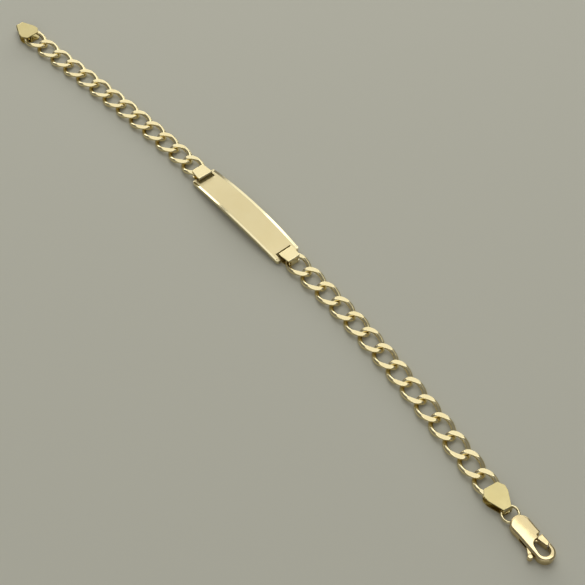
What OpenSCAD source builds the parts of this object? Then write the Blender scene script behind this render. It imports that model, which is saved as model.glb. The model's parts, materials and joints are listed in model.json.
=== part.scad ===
// Curb id bracelet lying undone: a curved name plate, two straps, two runs of filed
// curb links, a folded cap at each end, a jump ring and a lobster clasp.
// +X runs along the plate towards the clasp, +Z is up and the surface is at z = 0.

/* [Name plate] */
// Length of the plate over its end bars
plate_len = 29.2; // [22:0.1:45]
// Width at the middle
plate_w = 6.4; // [5:0.1:10]
// Width at the two ends
plate_end_w = 5.9; // [4.6:0.1:9]
// Thickness of the metal
plate_t = 0.9; // [0.6:0.05:1.2]
// Height of the middle over the ends
plate_rise = 1.1; // [0.4:0.1:3]
// Radius of the four corners seen from above
plate_corner = 0.5; // [0.2:0.05:1]
// Bar left between a slot and the plate's end
plate_bar = 0.85; // [0.5:0.05:1.2]
// Slot measured along the plate
slot_len = 0.95; // [0.8:0.05:1.6]
// Slot measured across the plate
slot_w = 3.9; // [2.6:0.1:4.4]

/* [Straps] */
// Length of a strap over its two folds
strap_len = 3.35; // [2.8:0.05:4]
// Width at the plate
strap_w = 3.5; // [2:0.1:4]
// Width of the two layers at the link
strap_link_w = 2.9; // [1.8:0.1:3.5]
// How much narrower the fold is than the link's hole
strap_room = 1.1; // [0.7:0.05:1.6]
// How far the fold's side notches reach back
strap_notch = 1.55; // [1:0.05:1.8]
// Thickness of the band
strap_t = 0.25; // [0.15:0.05:0.4]
// Outer radius of the folds
strap_round = 0.4; // [0.3:0.05:0.7]

/* [Chain] */
// Links on the plain end's side
left_links = 13; // [4:1:20]
// Links on the clasp's side
right_links = 14; // [4:1:20]
// Distance from one link's middle to the next
pitch = 4.75; // [4:0.05:6]
// Width of a link
link_w = 5; // [4.4:0.1:6.5]
// Diameter of the wire
wire_d = 1; // [0.7:0.05:1.1]
// Height of a link after both faces are filed flat
link_t = 1.4; // [1.1:0.05:2]
// Radius of a link's round end
link_end_r = 1.62; // [1.4:0.02:2]
// Half of the angle that the round end spans
link_end_half = 57; // [50:1:62]
// Climb of the wire's middle at a link's corners, in wire diameters
link_lift = 0.68; // [0.66:0.01:0.8]
// Play between the inner ends of two joined links
link_play = 0.12; // [0.05:0.01:0.4]

/* [End caps] */
// Length of a cap
cap_len = 5.75; // [5:0.05:8]
// Greatest width
cap_w = 4.7; // [3.6:0.1:6]
// Width of the edge towards the chain
cap_mouth_w = 3; // [2:0.1:4]
// Distance from that edge to the widest place
cap_shoulder = 1.25; // [0.5:0.05:1.6]
// Width of the folded end
cap_fold_w = 1.8; // [1.3:0.1:2]
// Thickness of the sheet
cap_t = 0.25; // [0.15:0.05:0.4]
// Outer radius of the fold
cap_round = 0.5; // [0.3:0.05:0.7]
// Width of the window in the fold
cap_window_w = 1.2; // [0.7:0.1:1.4]
// Diameter of the post that holds the last link
cap_post_d = 0.9; // [0.6:0.05:1.2]
// How far the cap's edge lies past the middle of the last link
cap_start = 0.9; // [0.6:0.05:1.2]
// Turn of the left cap on its post
left_cap_swing = 6; // [0:1:8]
// Turn of the right cap on its post
right_cap_swing = 2; // [0:1:8]

/* [Jump ring] */
// Outer diameter
ring_d = 3.7; // [3.4:0.1:4.4]
// Diameter of its wire
ring_wire = 0.55; // [0.4:0.05:0.6]
// Sideways tilt, far side up
ring_tilt = 10; // [0:1:12]

/* [Clasp] */
// Length of the clasp from its tail to the end of the hook
clasp_len = 10.4; // [9.5:0.1:13]
// Width of the body
clasp_w = 4; // [3.6:0.1:5]
// Thickness
clasp_t = 1.9; // [1.7:0.05:2.4]
// Wall of the tail that the ring pulls on
clasp_tail_t = 0.35; // [0.25:0.05:0.5]
// Outer radius of the hook
hook_r = 1.95; // [1.8:0.05:2.3]
// Radius of the opening
hook_open_r = 1.2; // [0.9:0.05:1.3]
// Thickness of the lever inside the body
lever_t = 0.7; // [0.5:0.05:0.9]
// Width of the gate
gate_w = 0.9; // [0.6:0.05:1.1]
// Diameter of the thumb nub
nub_d = 1.1; // [0.7:0.05:1.2]
// Thickness of the thumb nub
nub_t = 1.2; // [0.8:0.05:1.4]
// Diameter of the lever's pin
pin_d = 0.6; // [0.4:0.05:0.8]
// Radius of the body's knuckle around the pin
cheek_r = 1.05; // [0.9:0.05:1.2]
// Gap between the body's far corner and the gate
cheek_gap = 0.4; // [0.2:0.05:0.6]
// Width of the gate at the knuckle
gate_root_w = 1.4; // [1:0.05:1.5]
// Distance along the clasp from the pin to the nub
nub_reach = 2.75; // [2.2:0.05:3.2]
// Depth of the pin's and the gate's faces under the body's
inset = 0.1; // [0.05:0.05:0.2]
// How far the clasp turns back from the chain's line
clasp_swing = 5; // [0:1:10]

/* [Fits] */
// Gap between pieces that lie in each other
gap = 0.05; // [0.03:0.01:0.1]
// Play of a tilted link between the two layers that hold it
seat_play = 0.1; // [0.05:0.01:0.2]
// Gap around the ring where it passes through the clasp's tail
ring_gap = 0.1; // [0.06:0.01:0.15]
// Gap between the lever and the body
lever_gap = 0.08; // [0.05:0.01:0.12]
// Radial clearance between the pin and the lever
pin_gap = 0.05; // [0.03:0.01:0.08]

/* [Hidden] */
$fn = 64;
gold = "#e2cd98";
// Turn of each run away from the plate's line, towards -Y:
// share of the run's length, degrees turned
LEFT_LIE = [[0, 0], [0.5, 5], [1, 6.5]];
RIGHT_LIE = [[0, 0], [0.5, 7], [1, 10]];

// Link
link_half = (pitch + wire_d + link_play) / 2;
link_twist = asin(link_lift * wire_d / (link_end_r * sin(link_end_half)));
end_x = link_half - link_end_r;
joint_x = end_x + link_end_r * cos(link_end_half);
joint_y = link_end_r * sin(link_end_half) * cos(link_twist);
joint_z = link_end_r * sin(link_end_half) * sin(link_twist);
side_y = (link_w - wire_d) / 2;
side_chord = norm([joint_x, joint_z]);
side_sag = side_y - joint_y;
side_r = (side_chord * side_chord + side_sag * side_sag) / (2 * side_sag);
side_half = asin(side_chord / side_r);
side_tilt = atan2(joint_z, joint_x);
joint_ball = wire_d / 2 + 0.004;
hole_half = link_half - wire_d / 2;
link_outer = link_half + wire_d / 2;

// Seats: what a folded piece needs to hold a tilted link between its layers
seat_t = max(strap_t, cap_t) + gap;
toe_reach = link_outer - wire_d / 5;
seat_gap = link_t + sin(climb(cap_start)) * (toe_reach - cap_start) + seat_play;
fold_h = seat_gap + 2 * max(strap_t, cap_t);

// Straps and plate
bar_x = plate_len / 2 - plate_bar;
strap_x = bar_x - gap - strap_t;
strap_end_x = strap_x + strap_len;
strap_fold_w = link_w - 2 * wire_d - strap_room;
first_link_x = plate_len / 2 + gap + link_outer;
strap_cover = first_link_x - strap_end_x;
arch_r = (pow(plate_len / 2, 2) + pow(plate_rise, 2)) / (2 * plate_rise);

// Each run of chain: its length is taken from the first link's middle to the last's
left_run = (left_links - 1) * pitch;
right_run = (right_links - 1) * pitch;

// Route: a point at distance s past the first link, and the turn there
STEPS = 24;
ONES = [for (k = [1:STEPS]) 1];
function turn(side, s) =
    side < 0 ? lookup(s / left_run, LEFT_LIE) : lookup(s / right_run, RIGHT_LIE);
function route(side, s) =
    let (steps = [for (k = [1:STEPS]) turn(side, s * (k - 0.5) / STEPS)])
    [first_link_x, 0] + s / STEPS * (ONES * [for (t = steps) [cos(t), -sin(t)]]);

// Lie of a link: the last two at each end climb into the layers that hold them
function climb(cover) = asin(seat_t / (pitch + cover));
strap_climb = climb(strap_cover);
cap_climb = climb(cap_start);
toe_lift = sin(max(strap_climb, cap_climb) / 2) * (toe_reach - pitch / 2);

// End caps, in the last link's frame with x away from the plate
post_x = hole_half - 2 * gap - cap_post_d / 2;
cap_end_x = cap_start + cap_len;
cap_side = [
    [0, cap_mouth_w / 2], [cap_shoulder, cap_w / 2], [0.43 * cap_len, 0.47 * cap_w],
    [0.92 * cap_len, cap_fold_w / 2], [cap_len + 1, cap_fold_w / 2]
];
ring_r = (ring_d - ring_wire) / 2;
ring_room = ring_r - ring_wire / 2 - ring_gap;
ring_x = cap_end_x - cap_t + sqrt(pow(ring_room, 2) - pow(cap_fold_w / 2, 2));
ring_z = fold_h / 2;

// Clasp, in a frame with x from the ring's middle and y across
clasp_start_x = ring_r - ring_wire / 2 - ring_gap - clasp_tail_t;
clasp_end_x = clasp_start_x + clasp_len;
hook_c = [clasp_end_x - hook_r, -0.05];
open_c = [hook_c[0] - 0.2, hook_c[1]];
open_root = [open_c[0] - 1.4, 0.2];
belly_r = clasp_w / 2;
belly_c = [clasp_start_x + belly_r, 0];
neck_c = [belly_c[0] + 1.6, 0];
neck_r = belly_r - 0.05;
pivot = [open_root[0] - 2, -0.1];
cheek_x = pivot[0] + 0.2;
room_y = pivot[1] + 0.3;
hook_tip = open_c + [-0.45, hook_open_r + 0.35];
gate_reach = norm(hook_tip - pivot) - lever_gap;
gate_y = belly_r - 0.15;
gate_end_x = pivot[0] + gate_reach;
hub_r = cheek_r - 0.3;
arm_r = lever_t / 2;
gate_arm = [pivot[0] + cheek_r + 0.4, gate_y - 0.6];
nub_arm = [pivot[0] + 1.2, -belly_r + 0.3];
nub_c = [pivot[0] + nub_reach, -belly_r - 0.15 - nub_d / 2];
spine_x = pivot[0] + 1.7;
slot_t = lever_t + 2 * lever_gap;

// Middle of the whole bracelet's box on the surface
left_tip = far_point(-1, cap_end_x);
right_tip = far_point(1, ring_x + clasp_end_x);
mid_x = (right_tip[0] - left_tip[0]) / 2;
mid_y = (plate_w / 2 + right_tip[1] - hook_r) / 2;
function far_point(side, reach) =
    let (run = side < 0 ? left_run : right_run, t = turn(side, run))
    route(side, run) + reach * [cos(t), -sin(t)];

// Node names
function link_name(side, i) = str(side < 0 ? "left" : "right", "_link_", i);

// Puts the bracelet's own frame on the middle of its box
module placed() translate([-mid_x, -mid_y, 0]) children();

// A run's frame at distance s past its first link: x points away from the plate
module on_route(side, s) {
    p = route(side, s);
    translate([side * p[0], p[1], 0])
        rotate([0, 0, -side * turn(side, s)])
            scale_side(side) children();
}

// The left run is the right one turned half round
module scale_side(side) rotate([0, 0, side < 0 ? 180 : 0]) children();

// The outline around two circles
module bridge(c1, r1, c2, r2) {
    d = norm(c2 - c1);
    a = atan2(c2[1] - c1[1], c2[0] - c1[0]);
    b = acos((r1 - r2) / d);
    translate(c1) circle(r1);
    translate(c2) circle(r2);
    polygon([
        c1 + r1 * [cos(a + b), sin(a + b)],
        c1 + r1 * [cos(a - b), sin(a - b)],
        c2 + r2 * [cos(a - b), sin(a - b)],
        c2 + r2 * [cos(a + b), sin(a + b)]
    ]);
}

// A rectangle from (x0, y0) with rounded corners on its right side, or on both sides
module rounded_box(x0, y0, x1, y1, r, both) {
    translate([x0 + (both ? r : 0), y0]) square([x1 - x0 - (both ? 2 : 1) * r, y1 - y0]);
    translate([x0, y0 + r]) square([x1 - x0, y1 - y0 - 2 * r]);
    for (x = both ? [x0 + r, x1 - r] : [x1 - r], y = [y0 + r, y1 - r])
        translate([x, y]) circle(r);
}

// The long edge's distance from the middle line: a shallow arc
function edge_y(x) = plate_w / 2 - (plate_w - plate_end_w) / 2 * pow(2 * x / plate_len, 2);

// Name plate: an arched strip with bulging edges and a slot at each end
module plate_outline() {
    n = 8;
    inner = plate_len / 2 - plate_corner;
    half = edge_y(inner) - plate_corner;
    corner = [for (a = [75:-15:-75]) let (c = [cos(a), sin(a)])
        [inner + plate_corner * c[0], half * sign(c[1]) + plate_corner * c[1]]];
    far = [for (k = [0:n]) [inner * k / n, edge_y(inner * k / n)]];
    near = [for (k = [n:-1:0]) [far[k][0], -far[k][1]]];
    right = concat(far, corner, near);
    polygon(concat(right, [for (k = [len(right) - 2:-1:1]) [-right[k][0], right[k][1]]]));
}

module id_plate() color(gold) placed() translate([0, 0, seat_t]) difference() {
    intersection() {
        linear_extrude(plate_t + plate_rise + 1) plate_outline();
        translate([0, 0, plate_rise - arch_r]) rotate([90, 0, 0])
            linear_extrude(2 * plate_w, center = true) difference() {
                circle(arch_r + plate_t, $fn = 256);
                circle(arch_r, $fn = 256);
            }
    }
    for (side = [-1, 1])
        translate([side * (bar_x - slot_len / 2), 0, 0]) linear_extrude(3 * plate_t + plate_rise)
            square([slot_len, slot_w], center = true);
}

// Strap: a flattened band through the slot, around the bar and through the first link
module strap(side) color(gold) placed() scale_side(side) difference() {
    intersection() {
        rotate([90, 0, 0]) linear_extrude(2 * strap_w, center = true) difference() {
            rounded_box(strap_x, 0, strap_end_x, fold_h, strap_round, true);
            rounded_box(strap_x + strap_t, strap_t, strap_end_x - strap_t,
                fold_h - strap_t, strap_round - strap_t, true);
        }
        linear_extrude(3 * fold_h) polygon([
            [strap_x - 1, strap_w / 2], [strap_x + 1, strap_w / 2],
            [strap_end_x + 0.1, strap_link_w / 2], [strap_end_x + 0.1, -strap_link_w / 2],
            [strap_x + 1, -strap_w / 2], [strap_x - 1, -strap_w / 2]
        ]);
    }
    for (y = [-1, 1])
        translate([strap_end_x + (1 - strap_notch) / 2, y * (strap_fold_w + strap_w) / 2, fold_h / 2])
            cube([1 + strap_notch, strap_w, seat_gap], center = true);
}

// Curb link: two round ends twisted opposite ways and two bowed sides, filed flat
module wire_arc(r, from, span) rotate([0, 0, from])
    rotate_extrude(angle = span) translate([r, 0]) circle(wire_d / 2, $fn = 32);

module link_shape() intersection() {
    union() {
        for (end = [-1, 1]) {
            translate([end * end_x, 0, 0]) rotate([-end * link_twist, 0, 0])
                wire_arc(link_end_r, end < 0 ? 180 - link_end_half : -link_end_half,
                    2 * link_end_half);
            rotate([0, end * side_tilt, 0]) translate([0, end * (side_y - side_r), 0])
                wire_arc(side_r, end * 90 - side_half, 2 * side_half);
            for (side = [-1, 1])
                translate([end * joint_x, side * joint_y, -end * side * joint_z])
                    sphere(joint_ball, $fn = 32);
        }
    }
    cube([2 * link_outer + 1, link_w + 1, link_t], center = true);
}

module chain_link(side, i) {
    last = side < 0 ? left_links : right_links;
    s = (i - 1) * pitch;
    up = i == 1 ? -strap_climb : i == 2 ? -strap_climb / 2
        : i == last ? cap_climb : i == last - 1 ? cap_climb / 2 : 0;
    rise = up == 0 ? 0 : toe_lift + sin(abs(up)) * ((i == 1 || i == last) ? pitch : pitch / 2);
    color(gold) placed() on_route(side, s) translate([0, 0, link_t / 2 + rise])
        rotate([0, -up, 0]) link_shape();
}

// End cap: a sheet folded over the last link, with a window and an inner post
module cap_shape() {
    difference() {
        intersection() {
            rotate([90, 0, 0]) linear_extrude(2 * cap_w, center = true) difference() {
                rounded_box(0, 0, cap_len, fold_h, cap_round, false);
                rounded_box(-1, cap_t, cap_len - cap_t, fold_h - cap_t,
                    cap_round - cap_t, false);
            }
            linear_extrude(3 * fold_h) polygon(concat(cap_side,
                [for (k = [len(cap_side) - 1:-1:0]) [cap_side[k][0], -cap_side[k][1]]]));
        }
        translate([cap_len, 0, fold_h / 2])
            cube([2 * cap_round, cap_window_w, link_t], center = true);
    }
    translate([post_x - cap_start, 0, cap_t / 2])
        cylinder(d = cap_post_d, h = fold_h - cap_t);
}

// The cap's frame: on the last link, turned back about its post
module on_cap(side) {
    swing = side < 0 ? left_cap_swing : right_cap_swing;
    on_route(side, side < 0 ? left_run : right_run) translate([post_x, 0, 0])
        rotate([0, 0, swing * side]) translate([-post_x, 0, 0]) children();
}

module end_cap(side) color(gold) placed() on_cap(side)
    translate([cap_start, 0, 0]) cap_shape();

// Jump ring: through the right cap's fold and the clasp's tail
module ring_shape(d) translate([0, 0, ring_z]) rotate([ring_tilt, 0, 0])
    rotate_extrude() translate([ring_r, 0]) circle(d / 2, $fn = 32);

module jump_ring() color(gold) placed() on_cap(1)
    translate([ring_x, 0, 0]) ring_shape(ring_wire);

// The clasp's frame: x from the ring's middle
module on_ring() on_cap(1) translate([ring_x, 0, 0])
    rotate([0, 0, clasp_swing - right_cap_swing]) children();

// What the lever turns inside, seen from above
module lever_room() {
    translate(pivot) circle(cheek_r);
    polygon([
        pivot + [0, cheek_r - 0.1], [cheek_x, belly_r + 1], [spine_x + 1, belly_r + 1],
        [spine_x + 0.3, room_y - 0.4], [spine_x, -0.9], [spine_x + 1.5, -belly_r - 1],
        [pivot[0] - 1.2, -belly_r - 1], pivot + [-0.9, -0.5]
    ]);
}

// The room between the knuckle and the hook's tip, less a margin on every side
module gate_room(margin) intersection() {
    difference() {
        translate(pivot) circle(gate_reach + lever_gap - margin);
        translate(pivot) circle(cheek_r + margin);
    }
    translate([cheek_x, room_y]) square([2 * gate_reach, 2 * clasp_w]);
}

// The gate's outline: wide at the knuckle and narrow at the hook's tip
module gate_outline() intersection() {
    gate_room(lever_gap);
    polygon([
        [cheek_x + cheek_gap, gate_y], [cheek_x + cheek_gap, gate_y - gate_root_w],
        [pivot[0] + cheek_r, gate_y - gate_root_w], [gate_end_x, gate_y - gate_w],
        [gate_end_x, gate_y]
    ]);
}

module clasp_outline() difference() {
    union() {
        bridge(belly_c, belly_r, neck_c, neck_r);
        bridge(neck_c, neck_r, hook_c, hook_r);
    }
    bridge(open_c, hook_open_r, open_root, hook_open_r);
    gate_room(0);
}

module clasp_body() color(gold) placed() on_ring() {
    difference() {
        linear_extrude(clasp_t) clasp_outline();
        translate([0, 0, (clasp_t - slot_t) / 2]) linear_extrude(slot_t) lever_room();
        ring_shape(ring_wire + 2 * ring_gap);
    }
    translate([pivot[0], pivot[1], inset]) cylinder(d = pin_d, h = clasp_t - 2 * inset);
}

// Lever: a gate that closes the hook, a web on the pin and a thumb nub
module clasp_lever() color(gold) placed() on_ring() {
    translate([0, 0, inset]) linear_extrude(clasp_t - 2 * inset) gate_outline();
    translate([0, 0, (clasp_t - lever_t) / 2]) linear_extrude(lever_t) difference() {
        union() {
            bridge(pivot, hub_r, gate_arm, arm_r);
            bridge(pivot, hub_r, nub_arm, arm_r);
            bridge(nub_arm, arm_r, nub_c, arm_r);
        }
        translate(pivot) circle(pin_d / 2 + pin_gap);
    }
    translate([nub_c[0], nub_c[1], (clasp_t - nub_t) / 2]) cylinder(d = nub_d, h = nub_t);
}

id_plate();
strap(-1);  // left_strap
strap(1);  // right_strap
for (i = [1:left_links]) chain_link(-1, i);
for (i = [1:right_links]) chain_link(1, i);
end_cap(-1);  // left_cap
end_cap(1);  // right_cap
jump_ring();
clasp_body();
clasp_lever();
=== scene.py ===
"""Finish and stage of a filed curb id bracelet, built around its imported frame.

Settings are in millimetres, meshes in metres. +X runs along the name plate towards
the clasp and the bracelet lies on z = 0.
"""
import json
import math

import bmesh
import bpy
import numpy as np
from mathutils import Matrix, Vector


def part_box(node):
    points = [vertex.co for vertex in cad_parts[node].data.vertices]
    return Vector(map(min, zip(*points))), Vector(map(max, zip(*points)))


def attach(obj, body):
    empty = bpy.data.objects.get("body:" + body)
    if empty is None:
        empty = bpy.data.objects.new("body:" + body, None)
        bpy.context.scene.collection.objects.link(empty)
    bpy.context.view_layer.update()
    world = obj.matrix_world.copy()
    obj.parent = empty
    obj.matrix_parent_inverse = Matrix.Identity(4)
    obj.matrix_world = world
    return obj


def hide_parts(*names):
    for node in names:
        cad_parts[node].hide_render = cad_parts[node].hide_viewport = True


bl_info = {
    "name": "Curb Id Bracelet",
    "version": (1, 0, 0),
    "blender": (4, 5, 0),
    "location": "3D View > Sidebar > Bracelet",
    "description": "Builds the finished pieces of a curb id bracelet and lights them",
    "category": "Add Mesh",
}

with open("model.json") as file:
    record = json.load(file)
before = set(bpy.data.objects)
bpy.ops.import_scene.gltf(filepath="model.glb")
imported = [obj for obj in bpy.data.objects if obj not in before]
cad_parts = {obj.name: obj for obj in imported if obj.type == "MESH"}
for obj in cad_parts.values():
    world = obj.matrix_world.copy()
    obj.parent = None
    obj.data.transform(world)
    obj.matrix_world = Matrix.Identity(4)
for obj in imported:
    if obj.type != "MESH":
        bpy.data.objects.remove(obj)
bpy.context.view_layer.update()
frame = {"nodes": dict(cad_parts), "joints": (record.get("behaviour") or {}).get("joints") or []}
MM = 0.001
PLATE_LOW, PLATE_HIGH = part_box("id_plate")
PLATE_MIDDLE = (PLATE_LOW + PLATE_HIGH) / 2 / MM
CHAIN_HALVES = ("left", "right")

# All in millimetres, if nothing else is said
TOUCH = 1e-5  # points nearer than this are one
OVERCUT = 1  # how far a cutting tool stands out of what it cuts
FOLD_STEP = 0.05  # between the points of a folded sheet's side view
WIRE_STEP = 0.03  # between the points of a link's bends
RING_STEP = 0.1  # between the points of the jump ring
WIRE_POINTS = 168  # points around a link
WIRE_SIDES = 44  # sides of a link's wire
RING_SIDES = 28  # sides of the jump ring's wire
BORE_SIDES = 24  # sides of the tool that makes room for the ring
BLEND_REACH = 12  # points over which a link's bends are blended, to each side
BLEND = 4.0  # how wide that blend is, in points
STRAP_PLAY = 0.05  # between a strap and the plate's end bar
TAPER_START = 1  # from a strap's plate end to where its layers start to narrow
TAPER_TRIM = 0.9  # by how much the taper is shorter than the strap
FOLD_EASE = 0.35  # height over which a strap narrows to its fold
FOLD_SHARE = 0.6  # share of the fold's radius that it narrows over
CAP_BELLY = (0.43, 0.47)  # a point of a cap's side, as shares of its length and width
CAP_NECK = 0.92  # share of a cap's length at which its side reaches the folded end
WINDOW_TRIM = 0.3  # by how much a cap's window is lower than a filed link
POST_PLAY = 0.1  # between a cap's post and the last link
LINK_SHOWN = 0.9  # from the last link's middle to the edge of its cap
RING_ROOM = 0.1  # between the jump ring and the clasp's tail
PIN_BORE = 0.35  # radius of the lever's bore
LEVER_GRID = 0.8  # the lever's blending grid, as a share of the body's
FLOOR_HALF = 2.0  # half the floor's side, in metres


def number(name, default, description, low=0.0):
    """A number that the panel shows: a length in millimetres if nothing else is said."""
    return bpy.props.FloatProperty(
        name=name, default=default, description=description, min=low, unit="NONE", precision=3
    )


def colour(name, default, description):
    """A colour as an sRGB hex string."""
    return bpy.props.StringProperty(name=name, default=default, description=description)


class BraceletSizes(bpy.types.PropertyGroup):
    """Sizes of the finished pieces, in millimetres."""

    wire: number("Wire", 1.0, "Diameter of the links' wire")
    pitch: number("Pitch", 4.75, "Distance between the middles of two links")
    play: number("Play", 0.12, "Play between the inner ends of two joined links")
    link_width: number("Link width", 5.0, "Width of a link")
    end_radius: number("End radius", 1.62, "Radius of a link's round end, in its own plane")
    end_half_angle: number("End half angle", 57.0, "Half of the round end's angle in degrees")
    lift: number("Lift", 0.68, "Climb of the wire at a link's corners, in wire diameters")
    filed: number("Filed thickness", 1.4, "Height of a link between its two filed faces")
    arris: number("Arris", 0.045, "Roundness of a filed face's edge after polishing")
    plate_thickness: number("Plate thickness", 0.9, "Thickness of the name plate")
    plate_rise: number("Plate rise", 1.1, "Height of the plate's middle over its ends")
    plate_end_width: number("Plate end width", 5.9, "Width of the plate at its ends")
    plate_corner: number("Plate corner", 0.5, "Radius of the plate's corners")
    plate_bevel: number("Plate bevel", 0.48, "Width of the bevel around the plate's face")
    plate_bevel_depth: number("Bevel depth", 0.12, "Height of that bevel")
    plate_bar: number("End bar", 0.85, "Bar between a slot and the plate's end")
    slot_length: number("Slot length", 0.95, "Slot measured along the plate")
    slot_width: number("Slot width", 3.9, "Slot measured across the plate")
    seat: number("Seat", 0.3, "Height of the plate's ends over the surface")
    sheet: number("Sheet", 0.25, "Thickness of the sheet of straps and caps")
    folded: number("Folded height", 2.124, "Height of a folded strap or cap")
    strap_fold_radius: number("Strap fold radius", 0.4, "Outer radius of a strap's folds")
    cap_fold_radius: number("Cap fold radius", 0.5, "Outer radius of a cap's fold")
    strap_length: number("Strap length", 3.35, "Length of a strap over its folds")
    strap_width: number("Strap width", 3.5, "Width of a strap at the plate")
    strap_link_width: number("Strap width at the link", 2.9, "Width of its layers there")
    strap_fold_width: number("Fold width", 1.9, "Width of the fold inside the link")
    cap_length: number("Cap length", 5.75, "Length of an end cap")
    cap_width: number("Cap width", 4.7, "Greatest width of an end cap")
    cap_mouth: number("Cap mouth", 3.0, "Width of the cap's edge towards the chain")
    cap_shoulder: number("Cap shoulder", 1.25, "Distance from that edge to the widest place")
    cap_fold: number("Cap fold", 1.8, "Width of the cap's folded end")
    cap_window: number("Cap window", 1.2, "Width of the window in the fold")
    cap_post: number("Cap post", 0.9, "Diameter of the post that holds the last link")
    sheet_bevel: number("Sheet bevel", 0.05, "Softening of a sheet's cut edges")
    ring_wire: number("Ring wire", 0.55, "Diameter of the jump ring's wire")
    ring_outer: number("Ring", 3.7, "Outer diameter of the jump ring")
    clasp_length: number("Clasp length", 10.4, "Length of the clasp")
    clasp_width: number("Clasp width", 4.0, "Width of the clasp's body")
    clasp_thickness: number("Clasp thickness", 1.9, "Thickness of the clasp")
    clasp_edge: number("Clasp edge", 0.38, "Radius of the clasp's rounded edges")
    hook_radius: number("Hook radius", 1.95, "Outer radius of the hook")
    opening: number("Opening", 1.2, "Radius of the hook's opening")
    tail_wall: number("Tail wall", 0.35, "Wall of the tail inside the jump ring")
    lever_web: number("Lever web", 0.7, "Thickness of the lever inside the body")
    gate_width: number("Gate width", 0.9, "Width of the gate at the hook's tip")
    gate_root: number("Gate root", 1.4, "Width of the gate at the knuckle")
    cheek: number("Knuckle", 1.05, "Radius of the body's knuckle around the pin")
    cheek_gap: number("Gate gap", 0.5, "Gap between the body's far corner and the gate")
    dome: number("Dome", 0.12, "Fall of the clasp's face towards its long edges")
    gate_edge: number("Gate edge", 0.2, "Radius of the gate's rounded edges")
    nub: number("Nub", 1.1, "Diameter of the thumb nub")
    nub_height: number("Nub height", 1.2, "Thickness of the thumb nub")
    nub_reach: number("Nub reach", 2.75, "Distance along the clasp from the pin to the nub")
    lever_play: number("Lever play", 0.08, "Gap between the lever and the body")
    inset: number("Inset", 0.1, "Depth of the gate's faces under the body's")
    voxel: number("Cast grid", 0.05, "Grid that the cast pieces are blended on")


class BraceletColours(bpy.types.PropertyGroup):
    """Colours as sRGB hex."""

    # Painted shade: the plate's gold is the chain's gold painted darker, so its satin face looks
    # dimmer; the film tone is its random unevenness
    plate: colour("Plate", "#D3C69B", "9 carat yellow gold, satin")
    plate_film: colour("Plate film", "#CFBF90", "The same where polish has left a film")
    chain: colour("Chain", "#EDE1B4", "9 carat yellow gold, bright")
    chain_film: colour("Chain film", "#E6D49E", "The same where polish has left a film")
    cast: colour("Clasp", "#DFCFA2", "9 carat yellow gold, cast")
    cast_film: colour("Clasp film", "#D9C490", "The same where polish has left a film")
    # Painted shade: the caps' gold is the chain's gold painted darker still; the film tone is its
    # random unevenness
    cap: colour("Cap", "#CABE8B", "9 carat yellow gold, rolled")
    cap_film: colour("Cap film", "#C4B47C", "The same where polish has left a film")
    # Painted shade: a dull red brown on the inside of the folded caps and on their posts, standing
    # in for the shade there
    skin: colour("Fire skin", "#8A5528", "Copper oxide left inside a folded sheet")
    skin_film: colour("Fire skin film", "#5E3A1C", "The same where it is thickest")
    floor: colour("Floor", "#D2D0BE", "Pale matt floor")
    light: colour("Softbox", "#FFFFFF", "Diffused daylight lamp")
    room: colour("Room", "#F4F5F7", "Grey walls and ceiling of the studio")


class StageSettings(bpy.types.PropertyGroup):
    """Camera and lights."""

    azimuth: number("Azimuth", 50.1, "Camera's turn from -Y towards +X in degrees")
    elevation: number("Elevation", 53.0, "Camera's height over the floor in degrees")
    distance: number("Distance", 267.1, "Camera's distance from the point it looks at")
    aim_x: number("Aim X", 21.989, "From the plate's middle to the point looked at", -100.0)
    aim_y: number("Aim Y", -5.008, "From the plate's middle to the point looked at", -100.0)
    lens: number("Lens", 80.0, "Focal length on a 36 mm sensor")
    key: number("Key", 0.9, "Brightness of the large softbox beyond the bracelet")
    top: number("Top", 1.3, "Brightness of the softbox overhead")
    strip: number("Strip", 2.4, "Brightness of the low strip light beyond the bracelet")
    fill: number("Fill", 0.4, "Brightness of the softbox on the camera's side")
    horizon: number("Horizon", 0.2, "Brightness of the room's walls")
    zenith: number("Zenith", 0.26, "Brightness of the room's ceiling")


def sizes():
    return bpy.context.scene.bracelet_sizes


def colours():
    return bpy.context.scene.bracelet_colours


# Materials

MIX_A, MIX_B, MIX_OUT = 6, 7, 2  # the mix node's sockets for colours


def linear(code):
    """An sRGB hex code as a linear RGBA colour."""
    channels = [int(code[k : k + 2], 16) / 255 for k in (1, 3, 5)]
    return [c / 12.92 if c <= 0.04045 else ((c + 0.055) / 1.055) ** 2.4 for c in channels] + [1.0]


def add_node(tree, kind, inputs=(), **settings):
    """A node with its settings, and its inputs by name or number: a value, or a link."""
    node = tree.nodes.new(kind)
    for name, value in settings.items():
        setattr(node, name, value)
    for name, value in dict(inputs).items():
        if isinstance(value, bpy.types.NodeSocket):
            tree.links.new(value, node.inputs[name])
        else:
            node.inputs[name].default_value = value
    return node


def per_metre(period_mm):
    """The texture scale at which a pattern repeats once in that many millimetres."""
    return 1 / (period_mm * MM)


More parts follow.
